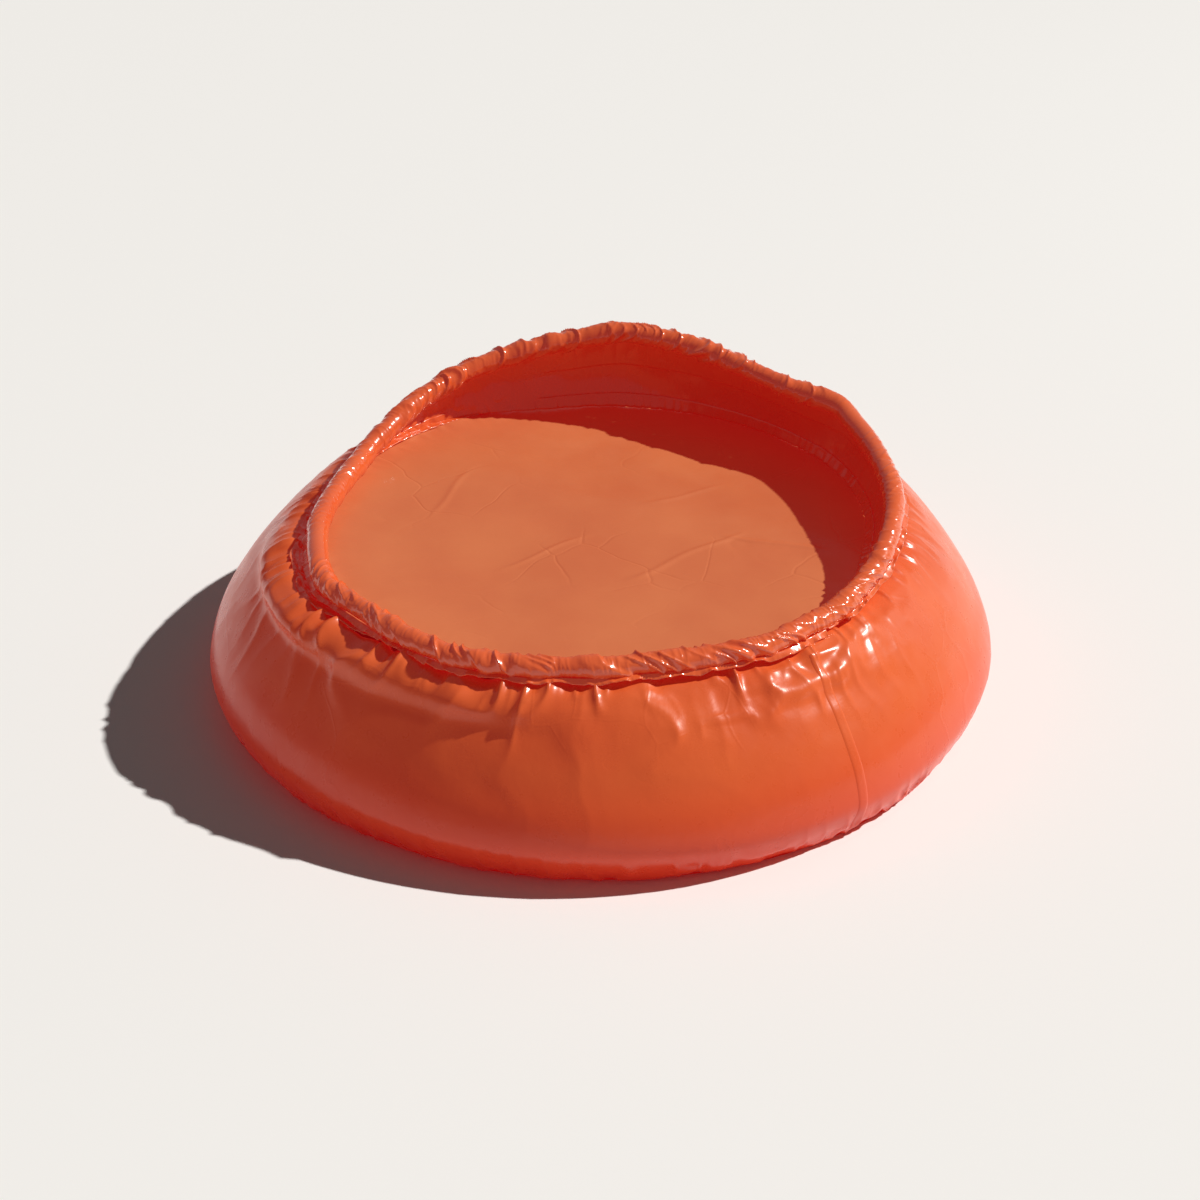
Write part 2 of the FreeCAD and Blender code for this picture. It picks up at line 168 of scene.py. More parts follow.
def cells(u, v, seed, wrap_u=256, wrap_v=256):
    """Smooth noise from -1 to 1: random heights on a unit lattice, eased between its corners.

    The lattice repeats after wrap_u and wrap_v cells, so a piece that closes has no seam.
    """
    heights = np.random.default_rng(seed).uniform(-1, 1, (wrap_u, wrap_v))
    u, v = np.broadcast_arrays(u, v)
    cell_u, cell_v = np.floor(u).astype(int), np.floor(v).astype(int)
    ease_u, ease_v = u - cell_u, v - cell_v
    ease_u = ease_u ** 3 * (ease_u * (6 * ease_u - 15) + 10)
    ease_v = ease_v ** 3 * (ease_v * (6 * ease_v - 15) + 10)
    a, b = cell_u % wrap_u, (cell_u + 1) % wrap_u
    c, d = cell_v % wrap_v, (cell_v + 1) % wrap_v
    near = heights[a, c] * (1 - ease_u) + heights[b, c] * ease_u
    far = heights[a, d] * (1 - ease_u) + heights[b, d] * ease_u
    return near * (1 - ease_v) + far * ease_v


def pleats(u, v, seed, wrap_u, wrap_v=256, sharp=2.0):
    """Sharp crests with round valleys, 0 to 1: one less the size of the noise, to a power."""
    return (1 - np.abs(cells(u, v, seed, wrap_u, wrap_v))) ** sharp


def folds(turn, way, count, length, seed, sharp, slant):
    """count crests round one turn, each about length long down the film, moved by a slant."""
    return pleats(turn * count + slant, way / length, seed, count, 64, sharp)


def near_azimuth(theta, centre, width):
    """A smooth hill of height 1 round an azimuth, all three in degrees, closing at 360."""
    gap = (theta - centre + 180) % 360 - 180
    return np.exp(-(gap / width) ** 2)


def course(table, theta, column):
    """A table's millimetres at azimuths in degrees, joined up round the circle, in metres."""
    rows = sorted((row[0] % 360, row[column] / 1000) for row in table)
    places, amounts = zip(*rows)
    return np.interp(np.asarray(theta, float) % 360, places, amounts, period=360)


def shoulder_shift(theta):
    """How far out of its circle the shoulder stands at an azimuth in degrees, in metres."""
    return sum(course(SHOULDER_COURSE, theta + step, 1) for step in (-6, -3, 0, 3, 6)) / 5


def eased(value, low, high):
    """0 below low, 1 above high, and a smooth climb between."""
    share = np.clip((value - low) / (high - low), 0, 1)
    return share * share * (3 - 2 * share)


def through(points, count):
    """A smooth line through points: a cubic whose slope at each is half the chord across it."""
    points = np.asarray(points, float)
    ends = np.vstack([2 * points[0] - points[1], points, 2 * points[-1] - points[-2]])
    spot = np.linspace(0, len(points) - 1 - 1e-9, count)
    index = spot.astype(int)
    t = (spot - index)[:, None]
    p0, p1, p2, p3 = (ends[index + k] for k in range(4))
    return 0.5 * (2 * p1 + (p2 - p0) * t + (2 * p0 - 5 * p1 + 4 * p2 - p3) * t ** 2
                  + (3 * p1 - p0 - 3 * p2 + p3) * t ** 3)


def spaced(line, count, crowding):
    """Points along a line, closer together where the crowding of the distance run is high."""
    steps = np.linalg.norm(np.diff(line, axis=0), axis=1)
    run = np.r_[0, np.cumsum(steps)]
    fine = np.linspace(0, run[-1], 4000)
    weight = np.cumsum(crowding(fine, run[-1]))
    weight = (weight - weight[0]) / (weight[-1] - weight[0])
    spots = np.interp(np.linspace(0, 1, count), weight, fine)
    return np.stack([np.interp(spots, run, line[:, k]) for k in range(line.shape[1])], -1), spots


# ------------------------------------------------------------------ meshes

def grid_piece(name, points, uv, closed=False, flip=False, poles=()):
    """A mesh over a grid of points, with its own map in metres.

    points is (across, along, 3) and uv (across, along, 2).  closed joins the last row across
    to the first.  poles lists the ends along, 0 or -1, that close in a point.
    """
    across, along = points.shape[:2]
    rows = across if closed else across - 1
    i, j = np.meshgrid(np.arange(rows), np.arange(along - 1), indexing="ij")
    i, j = i.ravel(), j.ravel()
    following = (i + 1) % across
    quads = np.stack([i * along + j, following * along + j, following * along + j + 1,
                      i * along + j + 1], -1)
    step_u = uv[1, 0, 0] - uv[0, 0, 0]
    beside = uv[i, j], uv[following, j], uv[following, j + 1], uv[i, j + 1]
    corners = np.stack(beside, 1)
    if closed:
        wrapped = following == 0
        corners[wrapped, 1:3, 0] = uv[-1, 0, 0] + step_u
    if flip:
        quads, corners = quads[:, ::-1], corners[:, ::-1]
    vertices = points.reshape(-1, 3)
    faces = quads.tolist()
    maps = [corners.reshape(-1, 2)]
    for pole in poles:
        ring = np.arange(across) * along + (along - 1 if pole else 0)
        tip = len(vertices)
        vertices = np.vstack([vertices, points[:, pole].mean(0)])
        pair = np.stack([ring, np.roll(ring, -1)], -1)
        if bool(pole) == flip:
            pair = pair[:, ::-1]
        faces += np.column_stack([pair, np.full(len(pair), tip)]).tolist()
        maps.append(np.zeros((3 * across, 2)) + uv[0, pole])
    mesh = bpy.data.meshes.new(name)
    mesh.from_pydata(vertices.tolist(), [], faces)
    layer = mesh.uv_layers.new(name="FilmMap")
    layer.data.foreach_set("uv", np.vstack(maps).astype(np.float32).ravel())
    mesh.shade_smooth()
    mesh.update()
    piece = bpy.data.objects.new(name, mesh)
    bpy.context.scene.collection.objects.link(piece)
    return piece


def film_map(across, along):
    """The map of a grid: two lengths in metres, spread against each other."""
    return np.stack(np.broadcast_arrays(across, along), -1)


def round_points(radius, theta, level):
    """Points of a round form: radius along the azimuth theta, at a level."""
    return np.stack(np.broadcast_arrays(radius * np.cos(theta), radius * np.sin(theta), level), -1)


def thicken(piece, thickness):
    """Give an open film its gauge, half on each side."""
    wall = piece.modifiers.new("gauge", "SOLIDIFY")
    wall.thickness = thickness
    wall.offset = 0.0
    return piece


# ------------------------------------------------------------------ materials

def shader(name):
    """A new material, its node tree and the surface node in it."""
    material = bpy.data.materials.new(name)
    material.use_nodes = True
    tree = material.node_tree
    return material, tree, tree.nodes["Principled BSDF"]


def add(tree, kind, **settings):
    node = tree.nodes.new(kind)
    for key, value in settings.items():
        if key in node.inputs.keys():
            node.inputs[key].default_value = value
        else:
            setattr(node, key, value)
    return node


def ramp(tree, source, stops):
    """A colour ramp over a value, between two stops: (place, grey or colour)."""
    node = tree.nodes.new("ShaderNodeValToRGB")
    for element, (place, colour) in zip(node.color_ramp.elements, stops, strict=True):
        element.position = place
        grey = isinstance(colour, (int, float))
        element.color = (colour, colour, colour, 1) if grey else (*colour, 1)
    tree.links.new(source, node.inputs["Fac"])
    return node.outputs["Color"]


def texture(tree, kind, place, **settings):
    """A texture node over the coordinates that place gives."""
    node = add(tree, kind, **settings)
    tree.links.new(place, node.inputs["Vector"])
    return node.outputs


def noise(tree, place, **settings):
    return texture(tree, "ShaderNodeTexNoise", place, **settings)["Fac"]


def bump(tree, height, strength, distance, under=None):
    """The surface's normal, tipped by a height in metres, on top of another normal."""
    node = add(tree, "ShaderNodeBump", Strength=strength, Distance=distance)
    tree.links.new(height, node.inputs["Height"])
    if under is not None:
        tree.links.new(under, node.inputs["Normal"])
    return node.outputs["Normal"]


def times(tree, first, second):
    node = add(tree, "ShaderNodeMath", operation="MULTIPLY")
    tree.links.new(first, node.inputs[0])
    tree.links.new(second, node.inputs[1])
    return node.outputs[0]


def mixed(tree, kind, share, first, second):
    """Two colours joined the way that kind says, the second by this share."""
    node = add(tree, "ShaderNodeMixRGB", blend_type=kind, Fac=share)
    tree.links.new(first, node.inputs["Color1"])
    tree.links.new(second, node.inputs["Color2"])
    return node.outputs["Color"]


def shaded(colour, share):
    return tuple(part * share for part in colour)


def film_material(name, light, deep, glow, roughness, coat, wrinkle, crease):
    """Welded plastic film: uneven colour, faint sharp creases, small wrinkles and a clear gloss.

    light and deep are the two tints it drifts between. Near the ground the colour is multiplied
    darker and redder as painted shade, and glow is the strength of a red emission, a painted glow
    for light coming through.
    """
    material, tree, surface = shader(name)
    place = add(tree, "ShaderNodeTexCoord").outputs
    drift = noise(tree, place["Object"], Scale=7.0, Detail=3.0, Roughness=0.55)
    tint = ramp(tree, drift, [(0.3, deep), (0.62, light)])
    # Painted shade near the ground: below 0.12 m the tint is multiplied down, most in green and
    # blue, so the film's foot reads darker and redder.
    spot = add(tree, "ShaderNodeSeparateXYZ")
    tree.links.new(place["Object"], spot.inputs["Vector"])
    low = ramp(tree, spot.outputs["Z"], [(0.015, (0.97, 0.42, 0.45)), (0.12, (1.0, 1.0, 1.0))])
    tree.links.new(mixed(tree, "MULTIPLY", 1.0, tint, low), surface.inputs["Base Color"])

    scuff = noise(tree, place["Object"], Scale=38.0, Detail=4.0, Roughness=0.6)
    shine = ramp(tree, scuff, [(0.3, roughness * 0.8), (0.75, roughness * 1.25)])
    tree.links.new(shine, surface.inputs["Roughness"])

    bend = texture(tree, "ShaderNodeTexNoise", place["UV"], Scale=9.0, Detail=2.0)
    sway = mixed(tree, "ADD", 0.06, place["UV"], bend["Color"])
    lines = texture(tree, "ShaderNodeTexVoronoi", sway, feature="DISTANCE_TO_EDGE", Scale=11.0)
    edge = ramp(tree, lines["Distance"], [(0.0, 1.0), (0.022, 0.0)])
    patchy = noise(tree, place["UV"], Scale=5.0, Detail=1.0)
    creased = times(tree, edge, ramp(tree, patchy, [(0.5, 0.0), (0.6, 1.0)]))

    small = noise(tree, place["UV"], Scale=60.0, Detail=5.0, Roughness=0.6, Distortion=0.6)
    soft = bump(tree, small, wrinkle, 0.002)
    tree.links.new(bump(tree, creased, crease, 0.0012, under=soft), surface.inputs["Normal"])
    tree.links.new(soft, surface.inputs["Coat Normal"])

    surface.inputs["IOR"].default_value = 1.4
    surface.inputs["Coat Weight"].default_value = coat
    surface.inputs["Coat Roughness"].default_value = 0.09
    # Painted glow: a red emission that stands in for light coming through the film, lifting its
    # shaded side to deep red.
    surface.inputs["Emission Color"].default_value = (1.0, 0.010, 0.013, 1)
    surface.inputs["Emission Strength"].default_value = glow
    return material


def foam_material(name, colour):
    """Closed-cell foam: pale, dull, with a fine cell pattern in its surface."""
    material, tree, surface = shader(name)
    place = add(tree, "ShaderNodeTexCoord").outputs["Object"]
    pores = texture(tree, "ShaderNodeTexVoronoi", place, Scale=900.0)["Distance"]
    tint = ramp(tree, pores, [(0.0, shaded(colour, 0.75)), (0.6, colour)])
    tree.links.new(tint, surface.inputs["Base Color"])
    tree.links.new(bump(tree, pores, 0.4, 0.0005), surface.inputs["Normal"])
    surface.inputs["Roughness"].default_value = 0.9
    return material


def water_material(name, colour):
    """Still water in the closed cushion: clear, with a slow ripple in its surface."""
    material, tree, surface = shader(name)
    place = add(tree, "ShaderNodeTexCoord").outputs["Object"]
    ripple = noise(tree, place, Scale=6.0, Detail=2.0)
    tint = ramp(tree, ripple, [(0.3, shaded(colour, 0.9)), (0.7, colour)])
    tree.links.new(tint, surface.inputs["Base Color"])
    tree.links.new(bump(tree, ripple, 0.2, 0.004), surface.inputs["Normal"])
    surface.inputs["Roughness"].default_value = 0.05
    surface.inputs["IOR"].default_value = 1.33
    surface.inputs["Transmission Weight"].default_value = 1.0
    return material


def moulded_material(name, colour):
    """Moulded plastic of the valve: even colour with a fine spark-eroded grain."""
    material, tree, surface = shader(name)
    place = add(tree, "ShaderNodeTexCoord").outputs["Object"]
    grain = noise(tree, place, Scale=700.0, Detail=3.0)
    tint = ramp(tree, grain, [(0.3, shaded(colour, 0.9)), (0.7, colour)])
    tree.links.new(tint, surface.inputs["Base Color"])
    tree.links.new(ramp(tree, grain, [(0.3, 0.38), (0.7, 0.5)]), surface.inputs["Roughness"])
    tree.links.new(bump(tree, grain, 0.25, 0.0003), surface.inputs["Normal"])
    return material


def dress(piece, material):
    """Give a new piece its material, in one step."""
    piece.data.materials.clear()
    piece.data.materials.append(material)
    return piece


def dress_node(node, material):
    """Give a CAD node a better material in its own slots."""
    piece = frame["nodes"][node]
    for place in piece.material_slots:
        place.material = material


# ------------------------------------------------------------------ sizes a user would change

class FilmLook(bpy.types.PropertyGroup):
    belly_light: FloatVectorProperty(
        name="Belly light", description="Lit tint of the belly film", subtype="COLOR",
        default=(0.56, 0.118, 0.028), min=0, max=1)
    belly_deep: FloatVectorProperty(
        name="Belly deep", description="Deep tint of the belly film", subtype="COLOR",
        default=(0.51, 0.096, 0.023), min=0, max=1)
    deck_light: FloatVectorProperty(
        name="Deck light", description="Lit tint of the deck film", subtype="COLOR",
        default=(0.44, 0.172, 0.062), min=0, max=1)
    deck_deep: FloatVectorProperty(
        name="Deck deep", description="Deep tint of the deck film", subtype="COLOR",
        default=(0.40, 0.145, 0.052), min=0, max=1)
    # The three glows are painted light: red emission on the film, standing in for light that comes
    # through it.
    belly_painted_glow: FloatProperty(
        name="Belly glow", description="Red light that comes through the belly", default=0.165)
    deck_painted_glow: FloatProperty(
        name="Deck glow", description="Red light that comes through the deck", default=0.21)
    collar_painted_glow: FloatProperty(
        name="Collar glow", description="Red light that comes through the collar", default=0.19)
    gauge: FloatProperty(
        name="Gauge", description="Thickness of the film", default=0.0009, unit="LENGTH")


class BellyShape(bpy.types.PropertyGroup):
    around: IntProperty(
        name="Steps around", description="Grid steps round the belly", default=1160)
    up: IntProperty(name="Steps up", description="Grid steps up the section", default=82)
    gather_height: FloatProperty(
        name="Gather", description="Height of the shoulder's small folds", default=0.0034,
        unit="LENGTH")
    fold_height: FloatProperty(
        name="Folds", description="Height of the long folds under the shoulder", default=0.0085,
        unit="LENGTH")
    rib_height: FloatProperty(
        name="Base ribs", description="Height of the ribs at the base weld", default=0.0060,
        unit="LENGTH")
    sag: FloatProperty(
        name="Sag", description="Depth of the broad hollows in the belly", default=0.004,
        unit="LENGTH")


class TubeShape(bpy.types.PropertyGroup):
    around: IntProperty(name="Steps around", description="Grid steps round the tube", default=60)
    step: FloatProperty(
        name="Step along", description="Grid step along the tube", default=0.001, unit="LENGTH")
    pucker: FloatProperty(
        name="Pucker", description="Height of the tube's gathers", default=0.0050, unit="LENGTH")
    pitch: FloatProperty(
        name="Pitch", description="Least distance between gathers", default=0.0125, unit="LENGTH")
    bow: FloatProperty(
        name="Bow", description="How round each run is: 0 straight, 1 a true circle",
        default=0.5, min=0, max=1)


class DeckShape(bpy.types.PropertyGroup):
    around: IntProperty(name="Steps around", description="Grid steps round the deck", default=640)
    out: IntProperty(name="Steps out", description="Grid steps from the middle", default=130)
    swell: FloatProperty(
        name="Swell", description="Height of the broad swells in the deck", default=0.0016,
        unit="LENGTH")


class StageLook(bpy.types.PropertyGroup):
    camera_distance: FloatProperty(
        name="Camera distance", description="From the camera to its aim", default=3.5,
        unit="LENGTH")
    camera_elevation: FloatProperty(
        name="Camera elevation", description="Angle above the ground", subtype="ANGLE",
        default=math.radians(30.0))
    lens: FloatProperty(name="Lens", description="Focal length in millimetres", default=91.9)
    aim_level: FloatProperty(
        name="Aim level", description="Height of the point that the camera looks at",
        default=0.094, unit="LENGTH")
    floor_colour: FloatVectorProperty(
        name="Floor", description="Colour of the plain floor", subtype="COLOR",
        default=(0.88, 0.88, 0.88), min=0, max=1)
    key_strength: FloatProperty(name="Key", description="Strength of the main light", default=4.2)
    fill_strength: FloatProperty(
        name="Fill", description="Strength of the room's light", default=0.07)
    sheen_strength: FloatProperty(
        name="Sheen", description="Strength of the room that shows in the gloss", default=0.20)


# ------------------------------------------------------------------ the path of the hem tube

PATH_STEPS = 4800
BEND_WIDTH = 0.011              # how far along the line a bend is spread by the softening


def ring_path(bow):
    """The hem tube's centre line, one point for each small step of azimuth.

    Each run between two bends is the chord between them plus a share, the bow, of the arc's
    height over it.  The raised runs then lean about the fold line, the course moves the line
    out and up, and a bell curve softens the whole.
    """
    degrees = np.arange(PATH_STEPS) * 360.0 / PATH_STEPS
    bends = np.array([FOLD_START] + [FOLD_END if b is None else b for b in RUN_BENDS]
                     + [FOLD_START + 360])
    spot = (degrees - FOLD_START) % 360 + FOLD_START
    run = np.clip(np.searchsorted(bends, spot, side="right") - 1, 0, len(bends) - 2)
    half = np.radians((bends[run + 1] - bends[run]) / 2)
    middle = np.radians((bends[run + 1] + bends[run]) / 2)
    swing = np.radians(spot) - middle
    chord = RING_RADIUS * np.cos(half) / np.cos(swing)
    radius = chord + bow * (RING_RADIUS - chord)
    line = np.stack([radius * np.cos(np.radians(spot)), RING_Y + radius * np.sin(np.radians(spot)),
                     np.full(PATH_STEPS, Frame.ring_level)], -1)
    raised = (spot < FOLD_END)[:, None]
    line = np.where(raised, about_fold(line, FOLD_TILT), line)
    out, lift = course(RING_COURSE, degrees, 1), course(RING_COURSE, degrees, 2)
    line += np.stack([out * np.cos(np.radians(spot)), out * np.sin(np.radians(spot)), lift], -1)
    return soften(line, BEND_WIDTH), degrees


def about_fold(points, angle):
    """Points turned about the fold line by an angle, back side up."""
    arm = points - Frame.fold_right
    along = (arm @ FOLD_AXIS)[..., None] * FOLD_AXIS
    across = arm - along
    lifted = np.cross(FOLD_AXIS, across)
    return Frame.fold_right + along + across * math.cos(angle) + lifted * math.sin(angle)


def soften(line, width):
    """A closed line blurred by a bell curve of this width along it."""
    pitch = np.linalg.norm(np.roll(line, -1, 0) - line, axis=1).mean()
    waves = np.fft.rfftfreq(len(line), 1.0) * TURN * width / pitch
    keep = np.exp(-waves ** 2 / 2)[:, None]
    return np.fft.irfft(np.fft.rfft(line, axis=0) * keep, len(line), axis=0)


def path_frames(line):
    """Along a closed line: the way out of the ring and the way up, both unit."""
    tangent = np.roll(line, -3, 0) - np.roll(line, 3, 0)
    tangent /= np.linalg.norm(tangent, axis=1, keepdims=True)
    out = np.cross(tangent, [0, 0, 1.0])
    out /= np.linalg.norm(out, axis=1, keepdims=True)
    up = np.cross(out, tangent)
    return out, up


class Path:
    """The softened ring line with its frames, its run length and a way to sample it."""

    def __init__(self, bow):
        self.line, self.degrees = ring_path(bow)
        self.out, self.up = path_frames(self.line)
        steps = np.linalg.norm(np.roll(self.line, -1, 0) - self.line, axis=1)
        self.run = np.r_[0, np.cumsum(steps)][:-1]
        self.length = steps.sum()

    def sample(self, degrees, what):
        """One of the line's arrays at azimuths in degrees, which may pass 360."""
        array = getattr(self, what)
        spot = np.asarray(degrees, float) % 360
        wrap = np.concatenate([array, array[:1]])
        places = np.r_[self.degrees, 360.0]
        return np.stack([np.interp(spot, places, wrap[:, k]) for k in range(3)], -1)

    def run_at(self, degrees):
        """Distance along the line at an azimuth, carried on past a full turn."""
        places = np.r_[self.degrees, 360.0]
        runs = np.r_[self.run, self.length]
        turns = np.floor(np.asarray(degrees) / 360)
        return np.interp(np.asarray(degrees) % 360, places, runs) + turns * self.length


# Where the tube's film is drawn smooth: azimuth and width in degrees, and how smooth.
COARSE_CALM = ((22, 15, 0.95), (-8, 16, 0.80), (158, 22, 0.70), (192, 13, 0.95))
FINE_CALM = ((22, 13, 0.90), (-22, 9, 0.70), (194, 8, 0.90))


def fitting(length, pitch):
    """The whole number of pitches that goes best into a closed length."""
    return int(round(length / pitch))


def gathered(degrees, calm):
    """How much of the gathers is left at an azimuth: 1 all of them, 0 drawn smooth."""
    smooth = sum(share * near_azimuth(degrees, centre, width) for centre, width, share in calm)
    return 1 - np.clip(smooth, 0, 1)


def tube_radius(run, phi, degrees, length, look):
    """The hem tube's radius: a round rod's film plus crests that run round it.

    Two sets of slanted crests take turns along the tube, each set where the other fades, and
    each is gathered most where a slow noise says so.
    """
    turn = phi / TURN % 1
    crests = []
    sets = (11, look.pitch, 1.5, 0.9), (31, look.pitch * 1.3, -1.2, 3.6)
    for seed, pitch, slant, where in sets:
        count = fitting(length, pitch)
        lean = slant * (1 + 0.6 * cells(run / 0.05, 0 * run, seed, fitting(length, 0.05)))
        way = run / length * count + lean * np.sin(phi - where)
        crests.append(pleats(way, 0 * phi, seed + 1, count, 1, 2.4))
    patches = fitting(length, 0.021)
    share = eased(cells(run / length * patches, turn * 2, 13, patches, 2), -0.35, 0.35)
    crest = crests[0] * share + crests[1] * (1 - share)
    swells = fitting(length, 0.036)
    strength = 0.75 + 0.45 * cells(run / length * swells, turn * 2, 14, swells, 2)
    fine_count = fitting(length, 0.0045)
    fine = pleats(run / length * fine_count + 0.8 * np.sin(phi), turn * 5, 12, fine_count, 5)
    body = Frame.tube_radius * (0.87 + 0.05 * cells(run / length * swells, turn * 2, 15, swells, 2))
    height = look.pucker * (crest - 0.22) * strength * gathered(degrees, COARSE_CALM)
    radius = body + height + 0.0007 * (fine - 0.4) * gathered(degrees, FINE_CALM)
    return np.maximum(radius, 0.76 * Frame.tube_radius)


# ------------------------------------------------------------------ operators

class BARRIER_OT_belly(bpy.types.Operator):
    """The wide outer film from the ground to the shoulder, puckered at both welds"""
    bl_idname = "barrier.belly"
    bl_label = "Belly film"

    def execute(self, context):
        shape = context.scene.barrier_belly
        look = context.scene.barrier_film
        degrees = np.arange(shape.around) * 360.0 / shape.around
        points, uv = belly_surface(degrees, shape, 0, 1, 0.0)
        film = film_material("belly film", look.belly_light, look.belly_deep,
                             look.belly_painted_glow, roughness=0.30, coat=0.10, wrinkle=0.16,
                             crease=0.14)
        piece = dress(grid_piece("belly_film", points, uv, closed=True), film)
        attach(piece, "water_bag")
        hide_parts("belly_wall", "base_weld_flange")

        across = np.linspace(-1, 1, 17)
        crown = (0.0008 - 0.0013 * across ** 4)[:, None]
        beside = LAP_AZIMUTH + LAP_HALF_WIDTH * across
        points, uv = belly_surface(beside, shape, 0.07, 0.90, crown)
        lap = dress(grid_piece("belly_lap", points, uv), film)
        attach(lap, "water_bag")
        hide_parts("belly_lap_seam")

        fill = belly_line(shape.up)[0] * WATER_SHARE + (0, 0.004)
        theta = np.radians(np.arange(180) * 2.0)[:, None]
        lean = belly_lean(np.degrees(theta), fill[None, :, 1])
        points = round_points(fill[None, :, 0] * lean, theta, fill[None, :, 1])
        uv = film_map(theta * BELLY_MAP_RADIUS, fill[None, :, 1])
        water = grid_piece("water_fill", points, uv, closed=True, poles=(0, -1))
        dress(water, water_material("water", (0.8, 0.92, 0.95)))
        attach(water, "water_bag")
        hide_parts("water_ballast")
        return {"FINISHED"}


def belly_line(steps):
    """Points up the belly's section, crowded near its two welds, and the distance to each."""
    section = np.array(BELLY_SECTION) * (Frame.belly_radius, Frame.shoulder_level)
    line = through(section, 1500)
    return spaced(line, steps, lambda s, total: 1 + 2.2 * np.exp(-s / 0.03)
                  + 2.6 * np.exp(-(total - s) / 0.028))


def belly_surface(degrees, shape, low, high, stand_off):
    """Points and map of the belly's film at these azimuths, between two shares of its height.

    The plain section leans a little by azimuth, and the relief stands off along its normal.
    """
    line, run = belly_line(shape.up)
    slope = np.gradient(line, run, axis=0)
    slope /= np.linalg.norm(slope, axis=1, keepdims=True)
    total = run[-1]
    kept = (run >= low * total) & (run <= high * total)
    line, run, slope = line[kept], run[kept], slope[kept]
    theta = np.radians(degrees)[:, None]
    from_base, from_top = np.abs(run - BASE_EDGE)[None, :], (total - run)[None, :]
    lift = belly_relief(degrees[:, None], from_base, from_top, shape) + stand_off
    radius = line[None, :, 0] * belly_lean(degrees[:, None], line[None, :, 1])
    radius = radius + slope[None, :, 1] * lift
    level = np.maximum(line[None, :, 1] - slope[None, :, 0] * lift, 0.0004)
    return round_points(radius, theta, level), film_map(theta * BELLY_MAP_RADIUS, run[None, :])


def belly_lean(degrees, level):
    """The cushion's slight want of roundness: a share of the radius by azimuth and height."""
    high = level / Frame.shoulder_level
    shoulder = shoulder_shift(degrees) * eased(high, 0.80, 0.99) / LIP_RADIUS
    low = (1 - high) * (0.014 * near_azimuth(degrees, 200, 18)
                        - 0.012 * near_azimuth(degrees, 335, 20))
    back = high * (0.022 * near_azimuth(degrees, 26, 12) - 0.010 * near_azimuth(degrees, 158, 14))
    return 1 + shoulder + low + back


def belly_relief(degrees, from_base, from_top, shape):
    """How far the belly's film stands off its plain section.

    Small pleats crowd at the two welds and die away from them; longer, fewer folds reach
    further down from the shoulder where the film is slack; one patch under the shoulder is
    crumpled; broad swells cover the rest.
    """
    from_top = np.maximum(from_top - LIP_DEPTH, 0)
    turn = degrees / 360
    slack = 0.25 + 0.75 * near_azimuth(degrees, 232, 42) + 0.45 * near_azimuth(degrees, 300, 26)
    shift = 0.8 * cells(turn * 40, from_top / 0.05, 21, 40)
    small = folds(turn, from_top, count=158, length=0.03, seed=22, sharp=2.2, slant=shift)
    gather = shape.gather_height * (small - 0.42) * np.exp(-from_top / 0.018)
    middle = folds(turn, from_top, count=78, length=0.07, seed=23, sharp=1.8, slant=0.6 * shift)
    fading = np.exp(-from_top / 0.036) * (0.2 + slack)
    gather += 0.95 * shape.fold_height * (middle - 0.45) * fading
    long = folds(turn, from_top, count=33, length=0.16, seed=24, sharp=2.4, slant=0.5 * shift)
    reach = 0.075 * (0.7 + 0.5 * cells(turn * 18, 0 * from_top, 25, 18))
    rise = 1 - np.exp(-(from_top / 0.018) ** 2)
    gather += shape.fold_height * (long - 0.35) * np.exp(-from_top / reach) * slack * rise
    slant = 0.3 * (from_base / 0.016) + 0.5 * cells(turn * 50, 0 * from_base, 26, 50)
    ribs = folds(turn, from_base, count=196, length=0.04, seed=27, sharp=1.8, slant=slant)
    strength = 0.65 + 0.35 * cells(turn * 24, 0 * from_base, 28, 24)
    fading = np.exp(-np.maximum(from_base - 0.026, 0) / 0.012)
    gather += shape.rib_height * (ribs - 0.4) * fading * strength
    patch = near_azimuth(degrees, 303, 24) * np.exp(-((from_top - 0.032) / 0.028) ** 2)
    crumple = folds(turn, from_top, count=74, length=0.019, seed=33, sharp=1.6,
                    slant=0.6 * shift)
    gather += 0.0062 * (crumple - 0.45) * patch
    broad = (cells(turn * 11, from_top / 0.11, 29, 11)
             + 0.5 * cells(turn * 23, from_top / 0.06, 30, 23))
    inner = (1 - np.exp(-from_top / 0.04)) * (1 - np.exp(-from_base / 0.03))
    return gather + shape.sag * 0.5 * broad * inner


class BARRIER_OT_shoulder(bpy.types.Operator):
    """The flat gathered weld band round the shoulder"""
    bl_idname = "barrier.shoulder"
    bl_label = "Shoulder weld band"

    def execute(self, context):
        look = context.scene.barrier_film
        around = 1500
        degrees = np.arange(around) * 360.0 / around
        theta = np.radians(degrees)[:, None]
        share = np.linspace(0, 1, 14)[None, :]
        turn = degrees[:, None] / 360
        ruffle = pleats(turn * 150 + 0.8 * share, share * 2, 41, 150, 8, 1.6) - 0.45
        fine = pleats(turn * 310, share * 3, 42, 310, 8) - 0.4
        inner, outer = LIP_RADIUS - 0.010, LIP_RADIUS + 0.0085
        edge = 0.0022 * cells(turn * 90, 0 * share, 43, 90) * share
        radius = inner + (outer - inner) * share + edge + shoulder_shift(degrees[:, None])
        level = Frame.weld_level + 0.0045 * share ** 2 + 0.0024 * share * ruffle + 0.0008 * fine
        points, uv = round_points(radius, theta, level), film_map(theta * 0.34, radius)
        piece = grid_piece("shoulder_gather", points, uv, closed=True, flip=True)
        thicken(piece, look.gauge)
        dress(piece, film_material("weld film", look.belly_light, look.belly_deep,
                                   look.belly_painted_glow, roughness=0.26, coat=0.6, wrinkle=0.12,
                                   crease=0.1))
        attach(piece, "water_bag")
        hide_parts("shoulder_weld_band")
        return {"FINISHED"}


